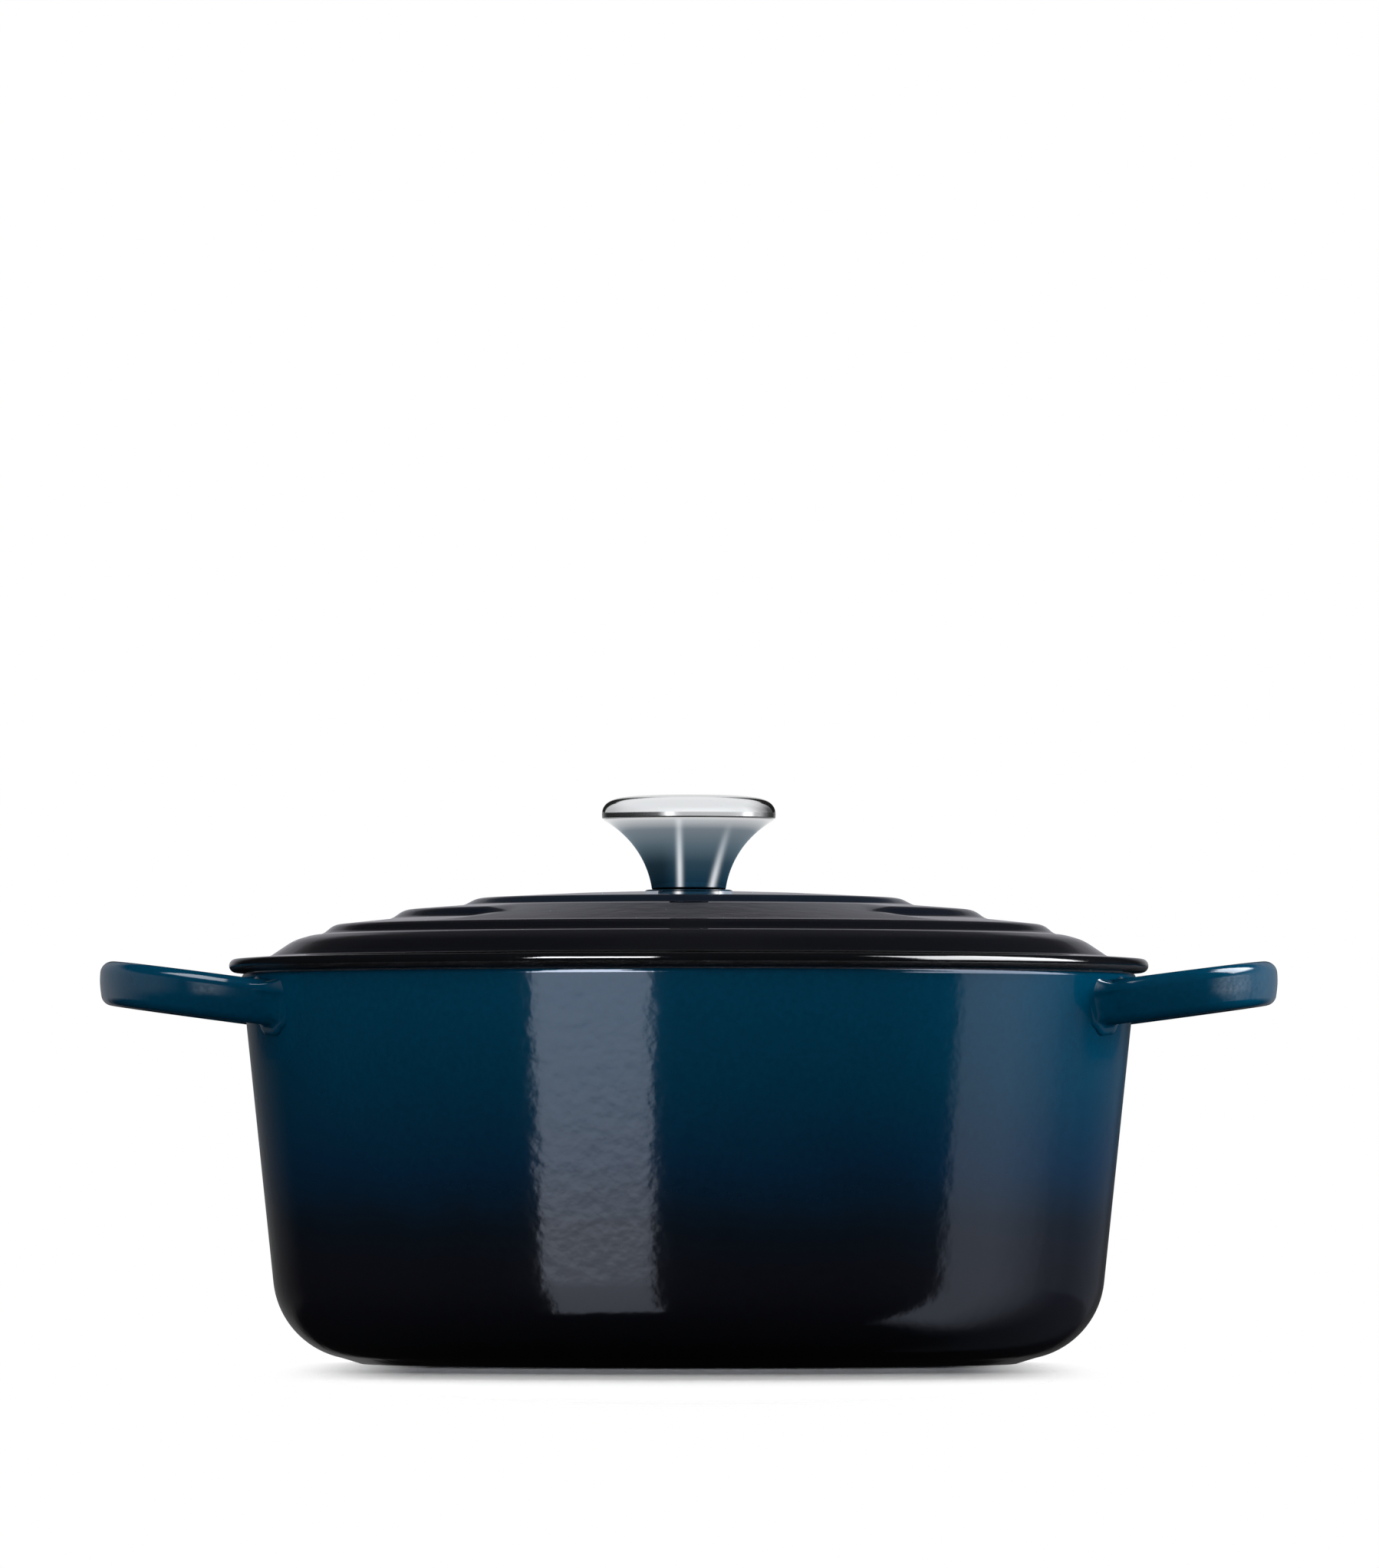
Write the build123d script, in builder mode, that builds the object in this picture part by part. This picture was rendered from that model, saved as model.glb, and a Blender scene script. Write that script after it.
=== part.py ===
from build123d import *
import os
from math import cos, radians, sin, tan

# An enamelled cast iron pot with two cast loop handles and a lift-off lid. Millimetres, +Z up.
# The origin is the middle of the foot, +X runs through the handles and -Y is the front.

# Pot
cavity_width = 240.0     # clear width at the rim, inside the lining: the size the pot is known by
pot_height = 108.0       # foot to rim
wall = 3.4               # cast wall, measured square to it
wall_taper = 6.0         # degrees that the wall leans out from upright
bottom_round = 23.7      # outer radius between the wall and the underside
floor = 3.6              # cast floor above the foot
foot_inset = 22.1        # from the wall, carried down to the foot, in to the foot's edge
foot_height = 1.2
foot_flare = 5.6         # how far the foot's edge slopes out
foot_rise = 0.5          # and how far it climbs the bottom round
foot_ring = 10.5         # width of the ground ring round a shallow recess
recess_depth = 0.6
rim_round = 1.2

# Loop handles
handle_out = 39.2        # how far a loop stands out past the rim
handle_width = 100.0
handle_bar = 14.0        # width of the bar all round the loop
handle_thickness = 12.2
handle_drop = 7.7        # rim down to the middle of the bar, at the wall
handle_rise = 7.5        # degrees that the loop tips up outward
handle_corner = 33.5     # outer radius of the loop's corners
corner_turn = 65.0       # degrees that each corner turns, the flatter tip turns the rest
handle_root = 30.0       # length of the bar buried in the pot before the cavity is cut
handle_edge = 2.8        # rounding along the bar
root_fillet = 3.0        # rounding where the bar meets the wall

# Enamel
lining = 0.4             # pale enamel inside pot and lid
lining_margin = 6.0      # rim down to the lining's edge

# Lid
flange_overhang = 3.3    # how far the flange stands out past the rim
flange_thickness = 4.0
flange_edge = 0.4        # upright band between the flange's rounded edges
flange_ledge = 11.4      # width of the flange outside the domed part
flange_slope = 0.75      # rise of the flange from its edge to the skirt
skirt_run = 6.9          # width and height of the skirt, where the dome starts
skirt_rise = 4.6
skirt_round = 12.0
shelf = 10.9             # width from the skirt's top in to the outermost step's shoulder
shelf_rise = 1.95        # climb from the skirt's top to the outermost step's crease
ring_count = 3
ring_pitch = 19.7        # radius from one shoulder to the next
ring_run = 4.3           # width of a step's slope
ring_rise = 2.2          # height of a step's slope
ring_fall = 1.5          # fall of the terrace between two steps
crown_fall = 1.7         # fall from the axis to the innermost shoulder
shoulder_round = 4.0
crease_round = 8.0
panel_arc = 88.0         # degrees of smooth cone in front, where the middle step stops
panel_margin = 0.15      # share of the terraces left inside and outside that cone
lid_wall = 4.0
hollow_cone = 9.8        # width of the cone between the hollow's dome and the lip
hollow_step = 2.05       # skirt's top down to the edge of the hollow's dome
pad_margin = 2.0         # flat seat inside the lid, past the washer's edge
boss_margin = 1.5        # the boss's edge, past the knob's foot
boss_height = 0.4
lip_depth = 4.5          # how far the locating lip reaches into the pot
lip_width = 4.0
lip_play = 1.2           # sideways play of the lip in the pot
lip_round = 1.2

# Knob
knob_width = 48.1
knob_waist = 20.4        # width of the stem's foot
stem_height = 19.7
flare_climb = 0.58       # share of the stem's height where the flare has
flare_spread = 0.34      # this share of its spread
cap_height = 6.6
cap_overhang = 0.55      # how far the cap's widest line stands out past the stem
cap_belly_height = 1.5   # stem up to that line
cap_shoulder = 1.85      # widest line in to the cap's upper edge
cap_crest = 2.5          # upper edge to the top of the cap
cap_flat = 12.0          # the top curves down from about this radius
cap_pull = 4.4           # how far the cap's edge runs on before it turns in
sheet = 1.6              # steel sheet of stem and cap
foot_wall = 1.65         # steel round the bush in the stem's foot
fit_gap = 0.05           # room round the pressed bush
thread_gap = 0.1         # room round the screw in its thread

# Screw, washers and threaded bush
screw_diameter = 6.0
screw_length = 20.0
screw_head_width = 12.0
screw_head_height = 3.8
screw_head_round = 1.2
screw_point = 0.6
drive_length = 6.4
drive_width = 1.3
drive_depth = 2.0
hole_play = 0.5          # room round the screw in the lid
flat_washer_width = 16.0
flat_washer_play = 0.2   # room round the screw in each washer
flat_washer_thickness = 1.2
spring_washer_width = 11.8
spring_washer_play = 0.1
spring_washer_thickness = 1.6
spring_washer_split = 1.0
bush_flange_thickness = 3.0
bush_wall = 2.4          # steel round the thread
bush_length = 14.0

# Shared places
lean = tan(radians(wall_taper))
across = 1 / cos(radians(wall_taper))            # level width of a leaning wall, for each mm of wall
casting_cavity = cavity_width / 2 + lining * across
rim_radius = casting_cavity + wall * across
floor_level = foot_height + floor
foot_radius = rim_radius - (pot_height - foot_height) * lean - foot_inset
lining_edge = pot_height - lining_margin
spare = 2 * handle_thickness                     # height of wall above the rim that is trimmed away
seat = pot_height                                # the lid's flange rests on the rim
flange_radius = rim_radius + flange_overhang
flange_top = seat + flange_thickness
flange_round = (flange_thickness - flange_edge) / 2
skirt_foot = flange_radius - flange_ledge
skirt_top = skirt_foot - skirt_run
skirt_level = flange_top + flange_slope + skirt_rise
inner_ring = skirt_top - shelf - (ring_count - 1) * ring_pitch
inner_level = skirt_level + shelf_rise + ring_count * ring_rise + (ring_count - 1) * ring_fall
crown = inner_level + crown_fall
boss_top = crown + boss_height
boss_radius = knob_waist / 2 + boss_margin
cap_level = boss_top + stem_height
cap_top = cap_level + cap_height
knob_lip = knob_width / 2 - cap_overhang         # radius where stem and cap meet
lid_bore = screw_diameter / 2 + hole_play
thread_bore = screw_diameter / 2 + thread_gap
bush_flange = knob_waist / 2 - foot_wall - fit_gap
hollow_top = crown - lid_wall
lip_outer = cavity_width / 2 - lip_play
lip_inner = lip_outer - lip_width
hollow_edge = lip_inner - hollow_cone
pad_radius = flat_washer_width / 2 + pad_margin
washer_level = hollow_top - lining
spring_level = washer_level - flat_washer_thickness
head_level = spring_level - spring_washer_thickness
front = -90.0                                    # the front's direction, in degrees from +X
rise = radians(handle_rise)
handle_level = pot_height - handle_drop
handle_start = rim_radius - handle_drop * lean   # the wall's radius at the handle
handle_plane = Plane(
    origin=(handle_start, 0, handle_level),
    x_dir=(cos(rise), 0, sin(rise)),
    z_dir=(-sin(rise), 0, cos(rise)),
)
handle_lead = (handle_thickness / 2 - handle_edge) * sin(rise) + handle_edge * (1 - cos(rise))
handle_reach = (rim_radius + handle_out - handle_start - handle_lead) / cos(rise)


def cone_radius(top_radius, level):
    """Radius of a leaning wall at a level, from its radius at the rim."""
    return top_radius - (pot_height - level) * lean


def bowl_face(top_radius, bottom_level, corner, top_level):
    """Half section of a bowl with a leaning side, up to top_level."""
    with BuildLine() as outline:
        side = FilletPolyline(
            (0, bottom_level),
            (cone_radius(top_radius, bottom_level), bottom_level),
            (cone_radius(top_radius, top_level), top_level),
            radius=corner,
        )
        Polyline(side @ 1, (0, top_level), side @ 0)
    make_face(outline.edges())


def loop_face(inset, mode):
    """The loop handle's outline in its own plane, drawn inset from the outer edge."""
    half = handle_width / 2 - inset
    turn = radians(corner_turn)
    flat = handle_width / 2 - handle_corner
    tip_radius = handle_corner + flat / cos(turn)
    corner_start = handle_reach - handle_corner - flat * (1 - sin(turn)) / cos(turn)
    with BuildLine() as outline:
        near = JernArc((corner_start, half), (1, 0), handle_corner - inset, -corner_turn)
        tip = JernArc(near @ 1, near % 1, tip_radius - inset, 2 * corner_turn - 180)
        far = JernArc(tip @ 1, tip % 1, handle_corner - inset, -corner_turn)
        Polyline(far @ 1, (-handle_root, -half), (-handle_root, half), near @ 0)
    make_face(outline.edges(), mode=mode)


def turned(plane_turn):
    """The upright half plane at an angle from +X, to draw a section on."""
    angle = radians(plane_turn)
    return Plane(
        origin=(0, 0, 0),
        x_dir=(cos(angle), sin(angle), 0),
        z_dir=(sin(angle), -cos(angle), 0),
    )


def step_point(ring, outward, fall):
    """A point of the lid's steps, measured out and down from the shoulder of one ring."""
    level = inner_level - ring * (ring_rise + ring_fall)
    return (inner_ring + ring * ring_pitch + outward, level - fall)


def terrace_point(ring, share):
    """A point on the terrace outside one ring's step, at a share of the terrace's width."""
    width = ring_pitch - ring_run
    return step_point(ring, ring_run + share * width, ring_rise + share * ring_fall)


def hollow_line(inset):
    """The lid's inner surface from the screw hole to the lip's foot, inset for the lining."""
    edge = (hollow_edge, skirt_level - hollow_step - inset)
    pad = Line((lid_bore, hollow_top - inset), (pad_radius, hollow_top - inset))
    dome = TangentArc(pad @ 1, edge, tangent=(1, 0))
    cone = Line(dome @ 1, (lip_inner - inset, seat - inset))
    return pad, dome, cone


def cap_face(inset):
    """Half section of the knob's cap, drawn inset from its outer surface."""
    lip = (knob_lip - inset, cap_level)
    belly = (knob_width / 2 - inset, cap_level + cap_belly_height)
    edge = (knob_width / 2 - cap_shoulder - inset, cap_top - cap_crest - inset / 2)
    with BuildLine() as outline:
        side = ThreePointArc(lip, belly, edge)
        crest = Bezier(
            side @ 1,
            side @ 1 + (side % 1) * cap_pull,
            (cap_flat, cap_top - inset),
            (0, cap_top - inset),
        )
        Polyline(crest @ 1, (0, cap_level), side @ 0)
    make_face(outline.edges())


# The full bowl, before it is hollowed
with BuildPart() as bowl:
    with BuildSketch(Plane.XZ):
        bowl_face(rim_radius, foot_height, bottom_round, pot_height)
    revolve(axis=Axis.Z)

# Pot casting: the bowl on its foot ring, hollowed, with a rounded rim
with BuildPart() as pot:
    add(bowl.part)
    with BuildSketch(Plane.XZ):
        with BuildLine():
            Polyline(
                (0, 0),
                (foot_radius, 0),
                (foot_radius + foot_flare, foot_height + foot_rise),
                (0, floor_level),
                close=True,
            )
        make_face()
    revolve(axis=Axis.Z)
    with BuildSketch(Plane.XZ):
        bowl_face(casting_cavity, floor_level, bottom_round - wall, pot_height + spare)
    revolve(axis=Axis.Z, mode=Mode.SUBTRACT)
    with BuildSketch(Plane.XY):
        Circle(foot_radius - foot_ring)
    extrude(amount=recess_depth, mode=Mode.SUBTRACT)
    rim = pot.faces().filter_by(Axis.Z).sort_by(Axis.Z)[-1]
    fillet(rim.edges(), rim_round)

# A flat loop with rounded edges, before it is blended into the wall
with BuildPart() as loop:
    with BuildSketch(handle_plane):
        loop_face(0, Mode.ADD)
        loop_face(handle_bar, Mode.SUBTRACT)
    extrude(amount=handle_thickness / 2, both=True)
    flats = loop.faces().filter_by(Axis((0, 0, 0), handle_plane.z_dir))
    fillet(flats.edges(), handle_edge)

# Right handle: the loop blended into a taller bowl, cut level with the rim, and parted at the wall
with BuildPart() as right_handle:
    with BuildSketch(Plane.XZ):
        bowl_face(rim_radius, foot_height, bottom_round, pot_height + spare)
    revolve(axis=Axis.Z)
    add(loop.part)
    fillet(right_handle.edges(Select.NEW), root_fillet)
    with BuildSketch(Plane.XY.offset(pot_height)):
        Circle(flange_radius + lip_play)
    extrude(amount=2 * spare, mode=Mode.SUBTRACT)
    add(bowl.part, mode=Mode.SUBTRACT)

# Left handle: the same loop on the other side
with BuildPart() as left_handle:
    add(mirror(right_handle.part, about=Plane.YZ, mode=Mode.PRIVATE))

# Pot lining: a thin coat inside the casting, ending below the rim
with BuildPart() as pot_lining:
    with BuildSketch(Plane.XZ):
        bowl_face(casting_cavity, floor_level, bottom_round - wall, lining_edge)
    revolve(axis=Axis.Z)
    with BuildSketch(Plane.XZ):
        bowl_face(cavity_width / 2, floor_level + lining, bottom_round - wall - lining, lining_edge)
    revolve(axis=Axis.Z, mode=Mode.SUBTRACT)

# Lid casting: a stepped dome, with a smooth cone in place of the middle step in front
steps = [step_point(ring, *slope) for ring in range(ring_count) for slope in ((0, 0), (ring_run, ring_rise))]
with BuildPart() as lid:
    with BuildSketch(Plane.XZ):
        with BuildLine():
            top = FilletPolyline(
                (lid_bore, boss_top),
                (boss_radius, boss_top),
                (boss_radius + boss_height, crown),
                *steps,
                (skirt_top, skirt_level),
                (skirt_foot, flange_top + flange_slope),
                (flange_radius, flange_top),
                (flange_radius, seat),
                (lip_outer, seat),
                (lip_outer - lip_depth * lean, seat - lip_depth),
                (lip_inner, seat - lip_depth),
                (lip_inner, seat),
                radius=(
                    *(0, 0),
                    *(ring_count * (shoulder_round, crease_round)),
                    *(skirt_round, shoulder_round),
                    *(flange_round, flange_round),
                    *(0, lip_round, lip_round),
                ),
            )
            pad, dome, cone = hollow_line(0)
            Line(pad @ 0, top @ 0)
        make_face()
    revolve(axis=Axis.Z)
    inner_edge = terrace_point(0, panel_margin)
    outer_edge = terrace_point(1, 1 - panel_margin)
    for lift, mode in ((-ring_rise, Mode.ADD), (ring_rise, Mode.SUBTRACT)):
        with BuildSketch(turned(front - panel_arc / 2)):
            with BuildLine():
                Polyline(
                    inner_edge,
                    outer_edge,
                    (outer_edge[0], outer_edge[1] + lift),
                    (inner_edge[0], inner_edge[1] + lift),
                    close=True,
                )
            make_face()
        revolve(axis=Axis.Z, revolution_arc=panel_arc, mode=mode)

# Lid lining: a thin coat over the hollow, from the screw hole to the lip
with BuildPart() as lid_lining:
    with BuildSketch(Plane.XZ):
        with BuildLine():
            upper_pad, upper_dome, upper_cone = hollow_line(0)
            lower_pad, lower_dome, lower_cone = hollow_line(lining)
            Line(upper_pad @ 0, lower_pad @ 0)
            Line(upper_cone @ 1, lower_cone @ 1)
        make_face()
    revolve(axis=Axis.Z)

# Knob stem: a flared shell of even thickness, cut level where the cap sits
with BuildPart() as knob_stem:
    with BuildSketch(Plane.XZ):
        with BuildLine():
            spread = knob_lip - knob_waist / 2
            flare = ThreePointArc(
                (knob_waist / 2, boss_top),
                (knob_waist / 2 + flare_spread * spread, boss_top + flare_climb * stem_height),
                (knob_lip, cap_level),
            )
            centre = flare.arc_center
            shell = 1 + sheet / flare.radius
            inner_foot = centre + (flare @ 0 - centre) * shell
            inner_mid = centre + (flare @ 0.5 - centre) * shell
            inner_lip = centre + (flare @ 1 - centre) * shell
            bore = ThreePointArc(inner_foot, inner_mid, inner_lip)
            Line(flare @ 1, bore @ 1)
            Line(flare @ 0, bore @ 0)
        make_face()
    revolve(axis=Axis.Z)
    split(bisect_by=Plane.XY.offset(cap_level), keep=Keep.BOTTOM)
    with BuildSketch(Plane.XY.offset(boss_top)):
        Circle(knob_waist / 2)
        Circle(bush_flange + fit_gap, mode=Mode.SUBTRACT)
    extrude(amount=bush_flange_thickness)

# Knob cap: a domed shell that closes the stem
with BuildPart() as knob_cap:
    with BuildSketch(Plane.XZ):
        cap_face(0)
    revolve(axis=Axis.Z)
    with BuildSketch(Plane.XZ):
        cap_face(sheet)
    revolve(axis=Axis.Z, mode=Mode.SUBTRACT)

# Threaded bush: a flange seated in the stem's foot, and a barrel for the screw
with BuildPart() as knob_bush:
    with BuildSketch(Plane.XY.offset(boss_top)):
        Circle(bush_flange)
    extrude(amount=bush_flange_thickness)
    with BuildSketch(Plane.XY.offset(boss_top)):
        Circle(thread_bore + bush_wall)
    extrude(amount=bush_length)
    with BuildSketch(Plane.XY.offset(boss_top)):
        Circle(thread_bore)
    extrude(amount=bush_length, mode=Mode.SUBTRACT)

# Flat washer against the lid's lining
with BuildPart() as flat_washer:
    with BuildSketch(Plane.XY.offset(spring_level)):
        Circle(flat_washer_width / 2)
        Circle(screw_diameter / 2 + flat_washer_play, mode=Mode.SUBTRACT)
    extrude(amount=flat_washer_thickness)

# Spring washer, clamped flat, with its split facing the front
with BuildPart() as spring_washer:
    with BuildSketch(Plane.XY.offset(head_level)):
        Circle(spring_washer_width / 2)
        Circle(screw_diameter / 2 + spring_washer_play, mode=Mode.SUBTRACT)
        Rectangle(
            spring_washer_split,
            spring_washer_width,
            align=(Align.CENTER, Align.MAX),
            mode=Mode.SUBTRACT,
        )
    extrude(amount=spring_washer_thickness)

# Pan head screw, up through the washers and the lid into the bush
with BuildPart() as knob_screw:
    with BuildSketch(Plane.XY.offset(head_level)):
        Circle(screw_head_width / 2)
    extrude(amount=-screw_head_height)
    fillet(knob_screw.edges().group_by(Axis.Z)[0], screw_head_round)
    with BuildSketch(Plane.XY.offset(head_level)):
        Circle(screw_diameter / 2)
    extrude(amount=screw_length)
    chamfer(knob_screw.edges().group_by(Axis.Z)[-1], screw_point)
    with BuildSketch(Plane.XY.offset(head_level - screw_head_height)):
        Rectangle(drive_length, drive_width)
        Rectangle(drive_width, drive_length)
    extrude(amount=drive_depth, mode=Mode.SUBTRACT)

# One file for each piece
pieces = {
    "pot": pot,
    "right_handle": right_handle,
    "left_handle": left_handle,
    "pot_lining": pot_lining,
    "lid": lid,
    "lid_lining": lid_lining,
    "knob_stem": knob_stem,
    "knob_cap": knob_cap,
    "knob_bush": knob_bush,
    "flat_washer": flat_washer,
    "spring_washer": spring_washer,
    "knob_screw": knob_screw,
}
os.makedirs("parts", exist_ok=True)
for name, piece in pieces.items():
    piece.part.label = name
    export_step(piece.part, f"parts/{name}.step")
    print(name, piece.part.is_valid, len(piece.part.solids()), round(piece.part.volume / 1000, 2), "cm3")
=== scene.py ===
# %% [markdown]
# An enamelled cast iron pot with a stepped lid and a steel knob, dressed for a picture.
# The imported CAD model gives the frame: which bodies there are, how they move and where every piece sits.
# The CAD pieces could be shown as they are, but fresh surfaces carry finer rounding, a thread and a drafted handle.
# So each cell below works out one piece or one finish, at real size, and prints what it made.

# %% Load the frame
import bmesh
import bpy
import numpy as np
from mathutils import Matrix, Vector


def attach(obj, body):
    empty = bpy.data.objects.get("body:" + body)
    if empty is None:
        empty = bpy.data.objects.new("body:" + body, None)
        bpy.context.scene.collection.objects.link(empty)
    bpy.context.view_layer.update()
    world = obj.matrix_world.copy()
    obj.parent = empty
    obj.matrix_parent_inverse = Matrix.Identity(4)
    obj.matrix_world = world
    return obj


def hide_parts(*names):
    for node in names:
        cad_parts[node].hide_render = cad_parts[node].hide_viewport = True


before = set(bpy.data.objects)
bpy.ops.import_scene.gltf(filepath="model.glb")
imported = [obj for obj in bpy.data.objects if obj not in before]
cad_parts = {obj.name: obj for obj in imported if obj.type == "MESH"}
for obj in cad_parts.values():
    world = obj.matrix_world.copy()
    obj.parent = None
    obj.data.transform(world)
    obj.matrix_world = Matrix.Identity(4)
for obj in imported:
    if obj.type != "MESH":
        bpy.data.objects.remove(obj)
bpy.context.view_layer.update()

# %% [markdown]
# Almost everything on this pot was turned, cast or pressed round one axis. Blender's Spin tool or Screw modifier could
# carry an outline round it. A grid of points worked out with numpy does the same, and lets a later step push single
# points, for a thread or a cross slot. First comes the tool that makes a closed mesh of any grid of points.

# %% A mesh from a grid of points
MM = 0.001


def grid_mesh(name, points, wrap_rows=False, wrap_columns=False):
    """A mesh from a grid of points in metres: every four neighbours make one quad.

    A wrapped direction joins its last line to its first.
    """
    index = np.arange(points.shape[0] * points.shape[1]).reshape(points.shape[:2])
    index = np.vstack([index, index[:1]]) if wrap_rows else index
    index = np.hstack([index, index[:, :1]]) if wrap_columns else index
    quads = np.stack([index[:-1, :-1], index[:-1, 1:], index[1:, 1:], index[1:, :-1]], axis=-1)
    mesh = bpy.data.meshes.new(name)
    mesh.from_pydata(points.reshape(-1, 3).tolist(), [], quads.reshape(-1, 4).tolist())
    return mesh


def surface(name, points, body, node, wrap_rows=False):
    """A closed piece from a grid of points in millimetres. Rows that shrink to one point close as a fan."""
    mesh = grid_mesh(name, points * MM, wrap_rows, wrap_columns=True)
    work = bmesh.new()
    work.from_mesh(mesh)
    bmesh.ops.remove_doubles(work, verts=work.verts, dist=1e-6)
    bmesh.ops.recalc_face_normals(work, faces=work.faces)
    work.to_mesh(mesh)
    work.free()
    mesh.shade_smooth()
    piece = bpy.data.objects.new(name, mesh)
    bpy.context.scene.collection.objects.link(piece)
    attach(piece, body)
    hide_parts(node)
    low, high = points.reshape(-1, 3).min(0), points.reshape(-1, 3).max(0)
    print(name, len(mesh.polygons), "faces, mm", np.round(low, 1).tolist(), np.round(high, 1).tolist())
    return piece


# %% [markdown]
# Cast iron and pressed steel have no sharp corners, and every rounding catches a line of light of its own.
# A Bevel modifier could round the finished mesh. Here the corners are rounded in the outline, before it is turned,
# so that each corner has its own radius in millimetres.

# %% An outline with rounded corners
def rounded_outline(corners, radii, step=2.0, bend=5.0):
    """Points (radius, height) along a polyline whose inner corners are rounded.

    Each corner becomes an arc that touches both sides: it starts radius * tan(turn / 2) before the corner and
    turns in steps of `bend` degrees. Straight runs are cut into steps of about `step` millimetres.
    """
    corners = np.asarray(corners, float)
    sides = np.diff(corners, axis=0)
    along = sides / np.linalg.norm(sides, axis=1, keepdims=True)
    before, after = along[:-1], along[1:]
    turns = np.arctan2(before[:, 0] * after[:, 1] - before[:, 1] * after[:, 0], (before * after).sum(1))
    trims = np.asarray(radii, float) * np.tan(np.abs(turns) / 2)
    starts = np.vstack([corners[:1], corners[1:-1] + after * trims[:, None]])
    ends = np.vstack([corners[1:-1] - before * trims[:, None], corners[-1:]])
    parts = []
    for side, (start, end) in enumerate(zip(starts, ends)):
        cuts = max(2, int(np.linalg.norm(end - start) / step) + 1)
        parts.append(start + (end - start) * np.linspace(0, 1, cuts)[:, None])
        if side < len(turns) and radii[side] > 0:
            cuts = max(3, int(np.degrees(abs(turns[side])) / bend) + 2)
            inward = np.sign(turns[side]) * np.array([-before[side][1], before[side][0]])
            centre = end + inward * radii[side]
            angle = turns[side] * np.linspace(0, 1, cuts)[1:-1]
            arm = end - centre
            parts.append(centre + np.stack([arm[0] * np.cos(angle) - arm[1] * np.sin(angle),
                                            arm[0] * np.sin(angle) + arm[1] * np.cos(angle)], axis=1))
    return np.vstack(parts)


def turned(outline, columns=256):
    """An outline (radius, height) carried once round the Z axis: x = r cos(a), y = r sin(a)."""
    angle = np.linspace(0, 2 * np.pi, columns, endpoint=False)
    radius, height = outline[:, :1], outline[:, 1:]
    return np.stack([radius * np.cos(angle), radius * np.sin(angle), height + 0 * angle], axis=-1)


# %% [markdown]
# The bowl is one casting: a low foot ring, a round bottom, a wall that leans out by six degrees and a rolled rim.
# It could be cut and filleted from a cylinder. One outline is simpler: it runs from the axis under the foot, up the
# outside, over the rim and down inside back to the axis, and is then turned.

# %% The bowl
# All sizes are in millimetres.
LEAN_ANGLE = np.radians(6.0)
LEAN = np.tan(LEAN_ANGLE)
RIM, HEIGHT, WALL, BOTTOM = 123.82, 108.0, 3.42, 4.8
FOOT, BOTTOM_ROUND = 90.5, 23.7


def cone(top_radius, level):
    """Radius of the leaning wall at a level, from its radius at the rim."""
    return top_radius - (HEIGHT - level) * LEAN


foot = rounded_outline(
    [(0, 0.6), (FOOT - 10.5, 0.6), (FOOT - 10.2, 0), (FOOT, 0), (FOOT + 5.6, 1.7)], [0.5, 0.5, 1.6])
shell = rounded_outline(
    [(80, 1.2), (cone(RIM, 1.2), 1.2), (RIM, HEIGHT), (RIM - WALL, HEIGHT), (cone(RIM - WALL, BOTTOM), BOTTOM),
     (0, BOTTOM)], [BOTTOM_ROUND, 1.5, 1.2, BOTTOM_ROUND - 3.4], bend=4.0)
above_foot = (shell[:, 0] > FOOT + 5.6) | (shell[:, 1] > 2.0)
bowl = surface("pot_bowl", turned(np.vstack([foot, shell[above_foot]])), "pot", "pot")

# %% [markdown]
# Each loop handle is a thick bar, cast in one with the bowl. A curve with a bevel object could sweep such a bar.
# A grid is used instead, because the bar has to melt into a leaning wall at both ends.
# Its section comes first: widest near the top and drawn in below, as a casting has to be to leave its mould.

# %% The bar's section
def bar_section():
    """Section of the bar (across, height) with rounded corners, and the outward normal at each of its points."""
    corners = [(0, 6.1), (-7.1, 6.1), (-6.85, 0), (-5.2, -6.1), (5.2, -6.1), (6.85, 0), (7.1, 6.1), (0, 6.1)]
    ring = rounded_outline(corners, [3.4, 22.0, 3.2, 3.2, 22.0, 3.4], step=0.9, bend=3.0)
    ring = ring[np.linalg.norm(np.roll(ring, -1, axis=0) - ring, axis=1) > 1e-6]
    chord = np.roll(ring, -1, axis=0) - np.roll(ring, 1, axis=0)
    normal = np.stack([chord[:, 1], -chord[:, 0]], axis=1)
    return ring, normal / np.linalg.norm(normal, axis=1, keepdims=True)


section, section_normal = bar_section()
print("bar section", len(section), "points, mm", np.round(np.ptp(section, axis=0), 1).tolist())

# %% [markdown]
# The loop leaves the wall straight, turns through a tight corner, a flatter tip and a second corner, and comes back.
# Arcs joined end to end could draw it. Here it is drawn by its curvature: the heading is the running sum of curvature
# and the place is the running sum of the heading. The curvature is smoothed first, so no joint shows in the shine.

# %% The loop's path
# REACH is how far the loop stands out, BAR is half the bar's width, ROOT_STEP starts the path inside the wall.
REACH, HALF_WIDTH, BAR = 40.5, 50.0, 7.0
CORNER_BEND, TIP_BEND = 26.5, 65.5
CORNER_TURN, TIP_TURN = np.radians(65.0), np.radians(50.0)
ROOT_STEP = 0.8


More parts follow.
